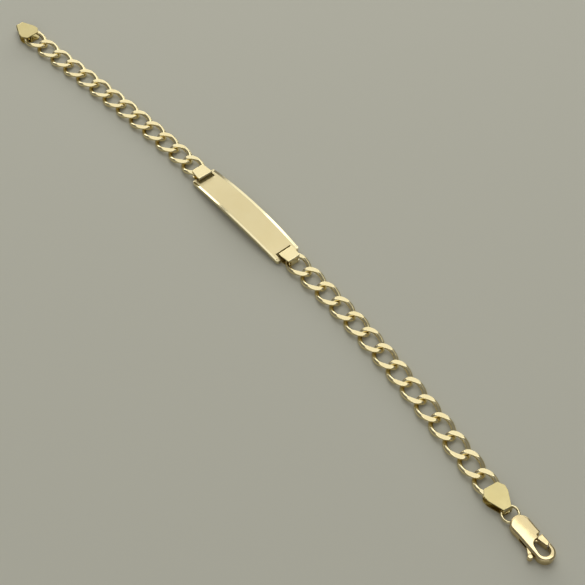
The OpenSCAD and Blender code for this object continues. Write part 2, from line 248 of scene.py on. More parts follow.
def gold(name, tone, polish, wave, line_mm, stretch, rim_highlight=None):
    """Pale 9 carat gold of one tone: a metal whose colour is its reflection.

    polish is the roughness and its unevenness. wave is the length and depth in mm of the
    slow waves that a buff leaves, and line_mm the spacing of the last abrasive's fine
    lines, drawn out along the stretch vector. The last argument is the tone and roughness
    of faces that lean across the piece: the tone is a painted highlight on bevels and walls,
    brighter than the face, and the lower roughness is their real polish.
    """
    film_mm, line_depth, rim_highlight_lean = 3.0, 0.0006, (0.1, 0.14)
    material = bpy.data.materials.new(name)
    material.use_nodes = True
    tree = material.node_tree
    tree.nodes.clear()
    spot = add_node(tree, "ShaderNodeTexCoord")
    place = spot.outputs["Object"]
    film = add_node(
        tree, "ShaderNodeTexNoise", {"Vector": place, "Scale": per_metre(film_mm), "Detail": 4.0}
    )
    clean, filmed = (linear(getattr(colours(), tone + end)) for end in ("", "_film"))
    tint = add_node(
        tree,
        "ShaderNodeMix",
        {"Factor": film.outputs["Fac"], MIX_A: clean, MIX_B: filmed},
        data_type="RGBA",
    ).outputs[MIX_OUT]
    drawn = add_node(tree, "ShaderNodeMapping", {"Vector": place, "Scale": stretch})
    lines = add_node(
        tree,
        "ShaderNodeTexNoise",
        {"Vector": drawn.outputs["Vector"], "Scale": per_metre(line_mm), "Detail": 2.0},
    )
    waves = add_node(
        tree, "ShaderNodeTexNoise", {"Vector": place, "Scale": per_metre(wave[0]), "Detail": 1.0}
    )
    level, spread = polish
    rough = add_node(
        tree,
        "ShaderNodeMapRange",
        {"Value": lines.outputs["Fac"], "To Min": level - spread, "To Max": level + spread},
    ).outputs["Result"]
    # Painted highlight: faces that lean across the piece take the brighter rim tone, with a lower,
    # polished roughness
    if rim_highlight:
        lean = add_node(tree, "ShaderNodeSeparateXYZ", {"Vector": spot.outputs["Normal"]})
        steep = add_node(tree, "ShaderNodeMath", {0: lean.outputs["Y"]}, operation="ABSOLUTE")
        highlight_mask = add_node(
            tree,
            "ShaderNodeMapRange",
            {
                "Value": steep.outputs["Value"],
                "From Min": rim_highlight_lean[0],
                "From Max": rim_highlight_lean[1],
            },
        ).outputs["Result"]
        tint = add_node(
            tree,
            "ShaderNodeMix",
            {"Factor": highlight_mask, MIX_A: tint, MIX_B: linear(getattr(colours(), rim_highlight[0]))},
            data_type="RGBA",
        ).outputs[MIX_OUT]
        rough = add_node(
            tree, "ShaderNodeMix", {"Factor": highlight_mask, "A": rough, "B": rim_highlight[1]}
        ).outputs["Result"]
    fine = add_node(
        tree,
        "ShaderNodeBump",
        {"Height": lines.outputs["Fac"], "Strength": 1.0, "Distance": line_depth * MM},
    )
    slow = add_node(
        tree,
        "ShaderNodeBump",
        {
            "Height": waves.outputs["Fac"],
            "Strength": 1.0,
            "Distance": wave[1] * MM,
            "Normal": fine.outputs["Normal"],
        },
    )
    shader = add_node(
        tree,
        "ShaderNodeBsdfPrincipled",
        {
            "Base Color": tint,
            "Metallic": 1.0,
            "Roughness": rough,
            "Normal": slow.outputs["Normal"],
        },
    )
    add_node(tree, "ShaderNodeOutputMaterial", {"Surface": shader.outputs["BSDF"]})
    return material


def matt_paint(name, code):
    """Matt painted board: an even pale colour with the faint tooth of a rolled coat."""
    tooth_mm, tooth_depth = 0.8, 0.02
    material = bpy.data.materials.new(name)
    material.use_nodes = True
    tree = material.node_tree
    tree.nodes.clear()
    place = add_node(tree, "ShaderNodeTexCoord").outputs["Object"]
    tooth = add_node(
        tree, "ShaderNodeTexNoise", {"Vector": place, "Scale": per_metre(tooth_mm), "Detail": 3.0}
    )
    bump = add_node(
        tree,
        "ShaderNodeBump",
        {"Height": tooth.outputs["Fac"], "Strength": 0.3, "Distance": tooth_depth * MM},
    )
    shader = add_node(
        tree,
        "ShaderNodeBsdfPrincipled",
        {"Base Color": linear(code), "Roughness": 0.85, "Normal": bump.outputs["Normal"]},
    )
    add_node(tree, "ShaderNodeOutputMaterial", {"Surface": shader.outputs["BSDF"]})
    return material


# Each finish's tone, polish, wave, line spacing, stretch and rim (the bevels' painted highlight
# tone and polished roughness), as gold takes them
FINISHES = {
    # Satin face, which spreads the light softly, in a tone painted darker as painted shade, with
    # polished bevels and walls in the brighter chain tone as a painted highlight
    "satin_shaded_gold": ("plate", (0.34, 0.03), (5.0, 0.012), 0.12, (0.06, 1, 1), ("chain", 0.1)),
    # Bright: filed faces are polished on a buff and keep slight waves
    "filed_gold": ("chain", (0.07, 0.03), (1.3, 0.05), 0.15, (1, 1, 1)),
    # Folded sheet: rolled smooth, then polished
    "rolled_gold": ("chain", (0.14, 0.03), (3.0, 0.02), 0.15, (0.3, 1, 1)),
    # The caps' sheet: the same, rubbed down a little after it was closed, in a tone painted darker
    # as painted shade
    "rubbed_shaded_gold": ("cap", (0.17, 0.03), (2.4, 0.02), 0.15, (0.3, 1, 1)),
    # Cast and tumbled: soft overall sheen with faint peening
    "cast_gold": ("cast", (0.13, 0.03), (2.2, 0.02), 0.18, (1, 1, 1)),
    # Painted shade for the inside of the folded caps: a dull red brown where the sheet is in shade
    "painted_inner_shade": ("skin", (0.4, 0.05), (2.0, 0.01), 0.2, (1, 1, 1)),
}
SLOT_FINISH = {
    "plate_gold": "satin_shaded_gold",
    "link_gold": "filed_gold",
    "sheet_gold": "rolled_gold",
    "clasp_gold": "cast_gold",
}


def finish_material(name):
    """The material of a finish, made once."""
    if name not in bpy.data.materials:
        gold(name, *FINISHES[name])
    return bpy.data.materials[name]


# Meshes


def make_piece(name, verts, faces, slot, body, nodes, sharp=35.0):
    """A finished piece from millimetre points, which stands for CAD nodes."""
    mesh = bpy.data.meshes.new(name)
    mesh.from_pydata([tuple(c * MM for c in v) for v in verts], [], faces)
    return finish_piece(name, mesh, slot, body, nodes, sharp)


def finish_piece(name, mesh, slot, body, nodes, sharp=35.0, finishes=()):
    """Gives a mesh in metres its normals, finish, body and CAD nodes.

    finishes names the materials of its faces' material indices, if not the slot's own.
    """
    bm = bmesh.new()
    bm.from_mesh(mesh)
    bmesh.ops.recalc_face_normals(bm, faces=bm.faces)
    bm.to_mesh(mesh)
    bm.free()
    mesh.shade_smooth()
    mesh.set_sharp_from_angle(angle=math.radians(sharp))
    mesh.materials.clear()
    for finish in finishes or (SLOT_FINISH[slot],):
        mesh.materials.append(finish_material(finish))
    piece = bpy.data.objects.new(name, mesh)
    bpy.context.scene.collection.objects.link(piece)
    flats = piece.modifiers.new("flats", "WEIGHTED_NORMAL")
    flats.keep_sharp = True
    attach(piece, body)
    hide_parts(*nodes)
    return piece


def node_axes(node):
    """Middle and main axes (longest, middle, shortest) of a CAD node's surface, in mm."""
    mesh = frame["nodes"][node].data
    mesh.calc_loop_triangles()
    points = np.array([v.co for v in mesh.vertices]) / MM
    corners = points[np.array([t.vertices for t in mesh.loop_triangles])]
    middles = corners.mean(axis=1)
    areas = np.linalg.norm(
        np.cross(corners[:, 1] - corners[:, 0], corners[:, 2] - corners[:, 0]), axis=1
    )
    middle = (middles * areas[:, None]).sum(axis=0) / areas.sum()
    spread = ((middles - middle) * areas[:, None]).T @ (middles - middle)
    axes = np.linalg.eigh(spread)[1].T[::-1]
    long_axis = axes[0] * (1 if axes[0][0] > 0 else -1)
    up = axes[2] * (1 if axes[2][2] > 0 else -1)
    return middle, long_axis, np.cross(up, long_axis), up


def placed(points, origin, x_axis, y_axis, z_axis):
    """Points of a piece's own frame, moved to the bracelet's."""
    return np.asarray(points) @ np.array([x_axis, y_axis, z_axis]) + np.asarray(origin)


def tube(line, radius, sides):
    """A closed round wire along a closed line: its points and faces."""
    line = np.asarray(line)
    count = len(line)
    along = np.roll(line, -1, axis=0) - np.roll(line, 1, axis=0)
    along /= np.linalg.norm(along, axis=1)[:, None]
    across = np.cross(along, (0, 0, 1))
    across /= np.linalg.norm(across, axis=1)[:, None]
    up = np.cross(across, along)
    turns = 2 * math.pi * np.arange(sides) / sides
    verts = (
        line[:, None]
        + radius * np.cos(turns)[None, :, None] * across[:, None]
        + radius * np.sin(turns)[None, :, None] * up[:, None]
    ).reshape(-1, 3)
    faces = [
        (
            i * sides + j,
            i * sides + (j + 1) % sides,
            (i + 1) % count * sides + (j + 1) % sides,
            (i + 1) % count * sides + j,
        )
        for i in range(count)
        for j in range(sides)
    ]
    return verts, faces


def clamped(value):
    """A share held between 0 and 1."""
    return min(max(value, 0), 1)


def arc(centre, radius, start, end, step=0.15):
    """Points along an arc, from start to end in degrees, both included."""
    count = max(2, math.ceil(abs(math.radians(end - start)) * radius / step))
    turns = np.radians(np.linspace(start, end, count + 1))
    return [(centre[0] + radius * math.cos(t), centre[1] + radius * math.sin(t)) for t in turns]


def disc(centre, radius):
    """The outline of a circle."""
    return arc(centre, radius, 0, 345)


def extruded(outline, low, high):
    """A closed outline raised from one height to another."""
    bm = bmesh.new()
    base = bm.faces.new([bm.verts.new((x, y, low)) for x, y in outline])
    made = bmesh.ops.extrude_face_region(bm, geom=[base])["geom"]
    for v in (g for g in made if isinstance(g, bmesh.types.BMVert)):
        v.co.z = high
    bmesh.ops.recalc_face_normals(bm, faces=bm.faces)
    return bm


def bevel_rims(bm, radius, steps):
    """Rounds the rims of an extruded outline."""
    rims = [e for e in bm.edges if e.verts[0].co.z == e.verts[1].co.z and len(e.link_faces) == 2]
    bmesh.ops.bevel(
        bm,
        geom=rims,
        offset=radius,
        segments=steps,
        profile=0.5,
        affect="EDGES",
        clamp_overlap=True,
    )


def chamfer_rims(bm, width, depth):
    """Cuts a flat bevel, as wide and as deep as given, along the rims of an outline."""
    low, high = (pick(v.co.z for v in bm.verts) for pick in (min, max))
    rim_highlight = bm.verts[:]
    for face in [f for f in bm.faces if abs(f.normal.z) > 0.9]:
        bmesh.ops.inset_region(bm, faces=[face], thickness=width, use_even_offset=True)
    for v in rim_highlight:
        v.co.z += depth if v.co.z < (low + high) / 2 else -depth


def scratch_object(mesh):
    """A scratch object of a mesh in mm, for a boolean."""
    solid = bpy.data.objects.new("scratch", mesh)
    bpy.context.scene.collection.objects.link(solid)
    return solid


def scratch_solid(bm):
    """A scratch object of a shape in mm."""
    mesh = bpy.data.meshes.new("scratch")
    bm.to_mesh(mesh)
    bm.free()
    return scratch_object(mesh)


def blanked(outline, holes, thickness, edge, chamfer=0.0, open_ends=()):
    """A flat sheet in (along, across, height) with softened rims, then holes.

    edge is the rims' radius, or with a chamfer the depth of a bevel that is so wide;
    open_ends are the places along the sheet where it has no end face, because it
    closes on itself there.
    """
    bm = extruded(outline, 0, thickness)
    ends = [
        f for f in bm.faces if any(all(abs(v.co.x - e) < TOUCH for v in f.verts) for e in open_ends)
    ]
    bmesh.ops.delete(bm, geom=ends, context="FACES_ONLY")
    if chamfer:
        chamfer_rims(bm, chamfer, edge)
    else:
        bevel_rims(bm, edge, 3)
    if holes:
        sheet = scratch_solid(bm)
        for hole in holes:
            cut_with(sheet, blank(hole, -OVERCUT, thickness + OVERCUT), "DIFFERENCE")
        mesh = settled(sheet)
        bm = bmesh.new()
        bm.from_mesh(mesh)
        bpy.data.meshes.remove(mesh)
        bmesh.ops.remove_doubles(bm, verts=bm.verts, dist=TOUCH)
    return bm


def bent(bm, stations, place, weld=0.0):
    """Bends a flat sheet along its length: place turns its points into points in mm."""
    for s in stations:
        everything = bm.verts[:] + bm.edges[:] + bm.faces[:]
        bmesh.ops.bisect_plane(
            bm, geom=everything, dist=TOUCH, plane_co=(s, 0, 0), plane_no=(1, 0, 0)
        )
    for v in bm.verts:
        v.co = Vector(place(*v.co)) * MM
    if weld:
        bmesh.ops.remove_doubles(bm, verts=bm.verts, dist=weld * MM)
    bmesh.ops.recalc_face_normals(bm, faces=bm.faces)
    mesh = bpy.data.meshes.new("bent")
    bm.to_mesh(mesh)
    bm.free()
    return mesh


def box_outline(x0, x1, width):
    """A rectangle's outline, centred across."""
    return [(x0, -width / 2), (x1, -width / 2), (x1, width / 2), (x0, width / 2)]


def mirrored(side_line):
    """A closed outline from the line of its +across side."""
    return list(side_line) + [(x, -y) for x, y in reversed(side_line) if y > TOUCH]


def polyline_at(line, lengths, s):
    """The point and direction at a distance along a plane line."""
    k = min(max(int(np.searchsorted(lengths, s, side="right")) - 1, 0), len(line) - 2)
    step = line[k + 1] - line[k]
    size = lengths[k + 1] - lengths[k]
    return line[k] + step * ((s - lengths[k]) / size), step / size


class Profile:
    """A sheet's side view: the line of its middle surface, in (x, z)."""

    def __init__(self, points):
        self.line = np.array(points)
        gaps = np.linalg.norm(np.diff(self.line, axis=0), axis=1)
        self.lengths = np.concatenate([[0], np.cumsum(gaps)])

    def point(self, s):
        return polyline_at(self.line, self.lengths, s)[0]

    def place(self, s, height):
        """Where a height over the middle surface lies; the outside is on the line's left."""
        spot = polyline_at(self.line, self.lengths, s)[0] + self.normal(s) * height
        return float(spot[0]), float(spot[1])

    def normal(self, s):
        """The outward normal, blended over a short stretch so that folds are smooth."""
        reach = 0.04
        before = polyline_at(self.line, self.lengths, max(s - reach, 0))[1]
        after = polyline_at(self.line, self.lengths, min(s + reach, self.lengths[-1]))[1]
        along = before + after
        along = along / np.linalg.norm(along)
        return np.array([-along[1], along[0]])


def cut_with(target, tool, operation):
    """Adds a solid to a target, or takes it away."""
    modifier = target.modifiers.new("join", "BOOLEAN")
    modifier.object = tool
    modifier.operation = operation
    modifier.solver = "EXACT"


def settled(target):
    """The mesh of a scratch solid after its modifiers; removes the solid and its tools."""
    tools = [m.object for m in target.modifiers if m.type == "BOOLEAN"]
    graph = bpy.context.evaluated_depsgraph_get()
    mesh = bpy.data.meshes.new_from_object(target.evaluated_get(graph))
    for scratch in (target, *tools):
        bpy.data.objects.remove(scratch)
    return mesh


def cast(solids, cuts, voxel):
    """Solids joined, cuts taken out, and all edges softened as on a tumbled casting."""
    target = solids[0]
    for solid in solids[1:]:
        cut_with(target, solid, "UNION")
    for tool in cuts:
        cut_with(target, tool, "DIFFERENCE")
    blend = target.modifiers.new("blend", "REMESH")
    blend.mode = "VOXEL"
    blend.voxel_size = voxel
    soft = target.modifiers.new("soft", "SMOOTH")
    soft.factor = 0.5
    soft.iterations = 8
    return settled(target)


def blank(outline, low, high, edge=0.0):
    """A scratch solid of a closed outline between two heights, with rounded rims, in mm."""
    bm = extruded(outline, low, high)
    if edge:
        bevel_rims(bm, edge, 6)
    return scratch_solid(bm)


def capsule(c1, r1, c2, r2):
    """The outline around two circles."""
    dx, dy = c2[0] - c1[0], c2[1] - c1[1]
    lean = math.degrees(math.atan2(dy, dx))
    open_angle = math.degrees(math.acos((r1 - r2) / math.hypot(dx, dy)))
    return arc(c1, r1, lean + open_angle, lean + 360 - open_angle) + arc(
        c2, r2, lean - open_angle, lean + open_angle
    )


# Pieces


class BRACELET_OT_plate(bpy.types.Operator):
    """Builds the arched name plate with its bevelled face and two slots."""

    bl_idname = "bracelet.plate"
    bl_label = "Name plate"

    def execute(self, context):
        s = sizes()
        half = (PLATE_HIGH.x - PLATE_LOW.x) / 2 / MM
        widest = (PLATE_HIGH.y - PLATE_LOW.y) / 2 / MM
        arch = (half**2 + s.plate_rise**2) / (2 * s.plate_rise)
        corner = half - s.plate_corner

        def edge(x):
            return widest - (widest - s.plate_end_width / 2) * (x / half) ** 2

        right = [(x, edge(x)) for x in np.linspace(0, corner, 24)[:-1]]
        right += arc((corner, edge(corner) - s.plate_corner), s.plate_corner, 90, 0, 0.08)
        outline = mirrored([(-x, y) for x, y in right[:0:-1]] + right)
        slot_end = half - s.plate_bar
        slots = [
            box_outline(slot_end - s.slot_length, slot_end, s.slot_width),
            box_outline(-slot_end, s.slot_length - slot_end, s.slot_width),
        ]
        bm = blanked(outline, slots, s.plate_thickness, s.plate_bevel_depth, s.plate_bevel)

        def place(x, y, height):
            rise = math.sqrt(arch**2 - min(x * x, half * half)) - (arch - s.plate_rise)
            return x + PLATE_MIDDLE.x, y + PLATE_MIDDLE.y, s.seat + rise + height

        mesh = bent(bm, np.linspace(-half, half, 50)[1:-1], place)
        finish_piece("name_plate", mesh, "plate_gold", "bracelet", ["id_plate"], sharp=8)
        return {"FINISHED"}


class BRACELET_OT_straps(bpy.types.Operator):
    """Folds the two straps that carry the plate."""

    bl_idname = "bracelet.straps"
    bl_label = "Straps"

    def execute(self, context):
        s = sizes()
        start = (PLATE_HIGH.x - PLATE_LOW.x) / 2 / MM - s.plate_bar - STRAP_PLAY - s.sheet
        end = start + s.strap_length
        mid = s.sheet / 2
        radius = s.strap_fold_radius - mid
        low, high = mid, s.folded - mid
        seam = (start + end) / 2
        profile = Profile(
            [(seam, low)]
            + arc((start + s.strap_fold_radius, low + radius), radius, -90, -180, FOLD_STEP)
            + arc((start + s.strap_fold_radius, high - radius), radius, 180, 90, FOLD_STEP)
            + [(seam, high)]
            + arc((end - s.strap_fold_radius, high - radius), radius, 90, 0, FOLD_STEP)
            + arc((end - s.strap_fold_radius, low + radius), radius, 0, -90, FOLD_STEP)
            + [(seam, low)]
        )

        def half_width(at):
            x, z = profile.point(at)
            share = clamped((x - start - TAPER_START) / (s.strap_length - TAPER_TRIM))
            layer = s.strap_width + (s.strap_link_width - s.strap_width) * share
            inside = clamped((high / 2 - abs(z - s.folded / 2)) / FOLD_EASE)
            inside *= clamped((x - end + s.strap_fold_radius) / (s.strap_fold_radius * FOLD_SHARE))
            ease = inside * inside * (3 - 2 * inside)
            return (layer + (s.strap_fold_width - layer) * ease) / 2

        total = float(profile.lengths[-1])
        steps = sorted({*profile.lengths.tolist(), *np.linspace(0, total, 80).tolist()})
        outline = mirrored([(at, half_width(at)) for at in steps])
        for name, side in zip(CHAIN_HALVES, (-1, 1)):
            bm = blanked(outline, [], s.sheet, s.sheet_bevel, open_ends=(0, total))

            def place(at, y, height):
                x, z = profile.place(at, height - mid)
                return PLATE_MIDDLE.x + side * x, PLATE_MIDDLE.y + side * y, z

            mesh = bent(bm, profile.lengths[1:-1].tolist(), place, weld=0.002)
            finish_piece(name + "_band", mesh, "sheet_gold", "bracelet", [name + "_strap"])
        return {"FINISHED"}


def link_line(s):
    """The middle line of one link's wire: two twisted round ends and two bowed sides."""
    half = (s.pitch + s.wire + s.play) / 2
    end = s.end_half_angle
    twist = math.asin(s.lift * s.wire / (s.end_radius * math.sin(math.radians(end))))
    middle = half - s.end_radius
    side = (s.link_width - s.wire) / 2

    def end_arc(sign):
        for x, y in arc((0, 0), s.end_radius, -end, end, WIRE_STEP):
            x, y = (x, y) if sign > 0 else (x, -y)
            yield sign * (middle + x), y * math.cos(twist), -sign * y * math.sin(twist)

    right, left = list(end_arc(1)), list(end_arc(-1))
    joint = np.array(right[-1])
    chord = math.hypot(joint[0], joint[2])
    sag = side - joint[1]
    radius = (chord**2 + sag**2) / (2 * sag)
    span = math.degrees(math.asin(chord / radius))

    def side_arc(sign):
        for u, v in arc((0, side - radius), radius, 90 - span, 90 + span, WIRE_STEP):
            u = u * sign
            yield u * joint[0] / chord, v * sign, sign * u * joint[2] / chord

    line = np.array(right[:-1] + list(side_arc(1))[:-1] + left[:-1] + list(side_arc(-1))[:-1])
    gaps = np.linalg.norm(np.roll(line, -1, axis=0) - line, axis=1)
    along = np.concatenate([[0], np.cumsum(gaps)])
    closed = np.vstack([line, line[:1]])
    spots = np.linspace(0, along[-1], WIRE_POINTS, endpoint=False)
    even = np.column_stack([np.interp(spots, along, closed[:, k]) for k in range(3)])
    kernel = np.exp(-0.5 * (np.arange(-BLEND_REACH, BLEND_REACH + 1) / BLEND) ** 2)
    kernel /= kernel.sum()
    return sum(w * np.roll(even, k - BLEND_REACH, axis=0) for k, w in enumerate(kernel))


class BRACELET_OT_links(bpy.types.Operator):
    """Bends and files one curb link and puts a copy at each link's place."""

    bl_idname = "bracelet.links"
    bl_label = "Curb links"

    def execute(self, context):
        s = sizes()
        verts, faces = tube(link_line(s), s.wire / 2, WIRE_SIDES)
        limit = s.filed / 2
        height = np.abs(verts[:, 2])
        over = np.maximum(height - (limit - s.arris), 0)
        filed = np.where(over > 0, limit - s.arris * np.exp(-over / s.arris), height)
        verts[:, 2] = np.sign(verts[:, 2]) * filed
        for node in sorted(n for n in frame["nodes"] if "_link_" in n):
            spots = placed(verts, *node_axes(node))
            name = node.replace("_link_", "_curb_")
            make_piece(name, spots, faces, "link_gold", "bracelet", [node])
        return {"FINISHED"}


class BRACELET_OT_caps(bpy.types.Operator):
    """Folds the two end caps, each with its window and inner post."""

    bl_idname = "bracelet.caps"
    bl_label = "End caps"

    def execute(self, context):
        s = sizes()
        mid = s.sheet / 2
        radius = s.cap_fold_radius - mid
        low, high = mid, s.folded - mid
        turn = s.cap_length - s.cap_fold_radius
        profile = Profile(
            [(0, high)]
            + arc((turn, high - radius), radius, 90, 0, FOLD_STEP)
            + arc((turn, low + radius), radius, 0, -90, FOLD_STEP)
            + [(0, low)]
        )
        total = float(profile.lengths[-1])
        side_line = (
            (0, s.cap_mouth / 2),
            (s.cap_shoulder, s.cap_width / 2),
            (CAP_BELLY[0] * s.cap_length, CAP_BELLY[1] * s.cap_width),
            (CAP_NECK * s.cap_length, s.cap_fold / 2),
        )
        outline = mirrored([*side_line, *((total - x, y) for x, y in reversed(side_line))])
        window = (s.filed - WINDOW_TRIM) / 2
        hole = box_outline(total / 2 - window, total / 2 + window, s.cap_window)
        for name, side in zip(CHAIN_HALVES, (-1, 1)):
            node = name + "_cap"
            middle, out, across, _ = node_axes(node)
            out, across = out * side, across * side
            points = np.array([v.co for v in frame["nodes"][node].data.vertices]) / MM
            reach = ((points - middle) @ out).max()
            origin = middle + out * (reach - s.cap_length)
            origin[2] = 0
            bm = blanked(outline, [hole], s.sheet, s.sheet_bevel)
            for face in bm.faces:  # the inside faces get the painted shade
                face.material_index = int(all(v.co.z < 10 * TOUCH for v in face.verts))

            def place(at, y, height):
                x, z = profile.place(at, height - mid)
                return tuple(origin + out * x + across * y + np.array([0, 0, z]))

            mesh = bent(bm, profile.lengths[1:-1].tolist(), place)
            add_post(mesh, origin + out * self.post_x(s), s)
            # the second material is the painted shade of the inside and the post
            cap_materials = ("rubbed_shaded_gold", "painted_inner_shade")
            finish_piece(name + "_end", mesh, "sheet_gold", "bracelet", [node], finishes=cap_materials)
        return {"FINISHED"}

    @staticmethod
    def post_x(s):
        """The post's place from the cap's edge: against the last link's end."""
        hole = (s.pitch + s.play) / 2
        return hole - POST_PLAY - s.cap_post / 2 - LINK_SHOWN


def add_post(mesh, spot, s):
    """Adds the post between a cap's layers, in the same painted shade as their inside."""
    bm = bmesh.new()
    bm.from_mesh(mesh)
    height = s.folded - s.sheet
    post = bmesh.ops.create_cone(
        bm,
        cap_ends=True,
        segments=32,
        radius1=s.cap_post / 2 * MM,
        radius2=s.cap_post / 2 * MM,
        depth=height * MM,
        matrix=Matrix.Translation(Vector((spot[0], spot[1], s.folded / 2)) * MM),
    )
    for face in {f for v in post["verts"] for f in v.link_faces}:
        face.material_index = 1
    bm.to_mesh(mesh)
    bm.free()


def ring_radius(s):
    """The radius of the jump ring's middle line."""
    return (s.ring_outer - s.ring_wire) / 2


def ring_tube(s, radius, sides):
    """A round bar along the jump ring's middle line, at the ring's place."""
    line = [(x, y, 0) for x, y in arc((0, 0), ring_radius(s), 0, 360, RING_STEP)[:-1]]
    verts, faces = tube(line, radius, sides)
    return placed(verts, *node_axes("jump_ring")), faces


class BRACELET_OT_ring(bpy.types.Operator):
    """Bends the jump ring between the right cap and the clasp."""

    bl_idname = "bracelet.ring"
    bl_label = "Jump ring"

    def execute(self, context):
        s = sizes()
        spots, faces = ring_tube(s, s.ring_wire / 2, RING_SIDES)
        make_piece("ring", spots, faces, "link_gold", "bracelet", ["jump_ring"])
        return {"FINISHED"}


class ClaspPlan:
    """The clasp seen from above, in mm: x from the jump ring's middle along the clasp."""

    NECK_STEP = 1.6  # from the belly's centre to the neck's
    NECK_SLIM = 0.05  # by how much the neck's radius is less than the belly's
    HOOK_SIDE = -0.05  # the hook's centre, across
    OPENING_BACK = 0.2  # from the hook's centre back to its opening's
    ROOT_BACK = 1.4  # from there back to the opening's narrow end
    ROOT_SIDE = 0.2  # that end's centre, across
    PIVOT_BACK = 2  # from there back to the pin
    PIVOT_SIDE = -0.1  # the pin, across
    CHEEK_STEP = 0.2  # from the pin to the edge of the cheeks
    FLOOR_STEP = 0.3  # from the pin to the floor of the gate's room, across
    TIP_BACK = 0.45  # from the opening's centre back to the hook's tip
    TIP_STEP = 0.35  # from the opening's edge to the tip, across
    SIDE_INSET = 0.15  # from the belly's side in to the gate's, and out to the nub
    SPINE = 1.7  # from the pin to the spine that joins the cheeks

    def __init__(self, s):
        self.start = ring_radius(s) - s.ring_wire / 2 - RING_ROOM - s.tail_wall
        self.end = self.start + s.clasp_length
        self.belly_r = s.clasp_width / 2
        self.belly = (self.start + self.belly_r, 0)
        self.neck = (self.belly[0] + self.NECK_STEP, 0)
        self.neck_r = self.belly_r - self.NECK_SLIM
        self.hook = (self.end - s.hook_radius, self.HOOK_SIDE)
        self.open = (self.hook[0] - self.OPENING_BACK, self.hook[1])
        self.root = (self.open[0] - self.ROOT_BACK, self.ROOT_SIDE)
        self.pivot = (self.root[0] - self.PIVOT_BACK, self.PIVOT_SIDE)
        self.cheek_r = s.cheek
        self.cheek_x = self.pivot[0] + self.CHEEK_STEP
        self.gate_floor = self.pivot[1] + self.FLOOR_STEP
        self.gate_side = self.belly_r - self.SIDE_INSET
        tip = (self.open[0] - self.TIP_BACK, self.open[1] + s.opening + self.TIP_STEP)
        self.tip_reach = math.dist(tip, self.pivot)
        joint = next(j for j in frame["joints"] if j["child"] == "lever")
        hinge = np.array(joint["pos_m"]) / MM
        centre = node_axes("jump_ring")[0]
        heading = math.atan2(hinge[1] - centre[1], hinge[0] - centre[0])
        heading -= math.atan2(self.pivot[1], self.pivot[0])
        self.axes = (
            (centre[0], centre[1], 0),
            (math.cos(heading), math.sin(heading), 0),
            (-math.sin(heading), math.cos(heading), 0),
            (0, 0, 1),
        )

    def gate_room(self):
        """The wedge that the gate moves in, between the knuckle and the hook's tip."""
        left, low = self.cheek_x - self.pivot[0], self.gate_floor - self.pivot[1]

        def turns(radius):
            return math.degrees(math.asin(low / radius)), math.degrees(math.acos(left / radius))

        (in_low, in_high), (out_low, out_high) = turns(self.cheek_r), turns(self.tip_reach)
        return arc(self.pivot, self.tip_reach, out_low, out_high) + arc(
            self.pivot, self.cheek_r, in_high, in_low
        )

    def lever_room(self):
        """The slot between the cheeks, as one outline."""
        x, y = self.pivot
        spine = x + self.SPINE
        far, near = self.belly_r + OVERCUT, -self.belly_r - OVERCUT
        return (
            [(self.cheek_x, far)]
            + arc(self.pivot, self.cheek_r, 90, 205)
            + [(x - 1.2, near), (spine + 1.5, near), (spine, -0.9)]
            + [(spine + 0.3, self.gate_floor - 0.4), (spine + 1, far)]
        )

    def gate_line(self, s):
        """The gate's outline: wide at the knuckle and narrow at the hook's tip."""
        x, y = self.pivot
        play = s.lever_play
        reach, root = self.tip_reach - play, self.cheek_r + play
        high = self.gate_side
        low = high - s.gate_width
        left = max(self.cheek_x + s.cheek_gap, x)
        tip = [(x + math.sqrt(reach**2 - (v - y) ** 2), v) for v in np.linspace(high, low, 7)]
        foot = high - s.gate_root
        turn = math.degrees(math.asin((foot - y) / root)) if foot - y < root else 90.0
        start = math.degrees(math.acos((left - x) / root))
        return [(left, high), *tip, *arc(self.pivot, root, min(turn, start), start)]


def set_in_place(mesh, axes, shape=None):
    """Moves a mesh from the clasp's own frame, in mm, to the bracelet's, in metres."""
    co = np.zeros(len(mesh.vertices) * 3)
    mesh.vertices.foreach_get("co", co)
    co = co.reshape(-1, 3)
    if shape:
        co = shape(co)
    mesh.vertices.foreach_set("co", (placed(co, *axes) * MM).ravel())


class BRACELET_OT_clasp(bpy.types.Operator):
    """Casts the clasp's body: belly, cheeks, spine and hook."""

    bl_idname = "bracelet.clasp"
    bl_label = "Clasp body"

    def execute(self, context):
        s = sizes()
        plan = ClaspPlan(s)
        top = s.clasp_thickness
        through = (-OVERCUT, top + OVERCUT)
        tail = capsule(plan.belly, plan.belly_r, plan.neck, plan.neck_r)
        head = capsule(plan.neck, plan.neck_r, plan.hook, s.hook_radius)
        belly, hook = (blank(outline, 0, top, s.clasp_edge) for outline in (tail, head))
        opening = blank(capsule(plan.open, s.opening, plan.root, s.opening), *through)
        gate = blank(plan.gate_room(), *through)
        slot = s.lever_web + 2 * s.lever_play
        room = blank(plan.lever_room(), (top - slot) / 2, (top + slot) / 2)
        spots, faces = ring_tube(s, s.ring_wire / 2 + RING_ROOM, BORE_SIDES)
        origin, *axes = plan.axes
        bore = bpy.data.meshes.new("bore")
        bore.from_pydata(((spots - np.array(origin)) @ np.array(axes).T).tolist(), [], faces)
        mesh = cast([belly, hook], [opening, gate, room, scratch_object(bore)], s.voxel)

        def domed(co):
            fall = s.dome * (co[:, 1] / plan.belly_r) ** 2
            co[:, 2] = top / 2 + (co[:, 2] - top / 2) * (1 - 2 * fall / top)
            return co

        set_in_place(mesh, plan.axes, domed)
        finish_piece("clasp", mesh, "clasp_gold", "bracelet", ["clasp_body"], sharp=60)
        return {"FINISHED"}


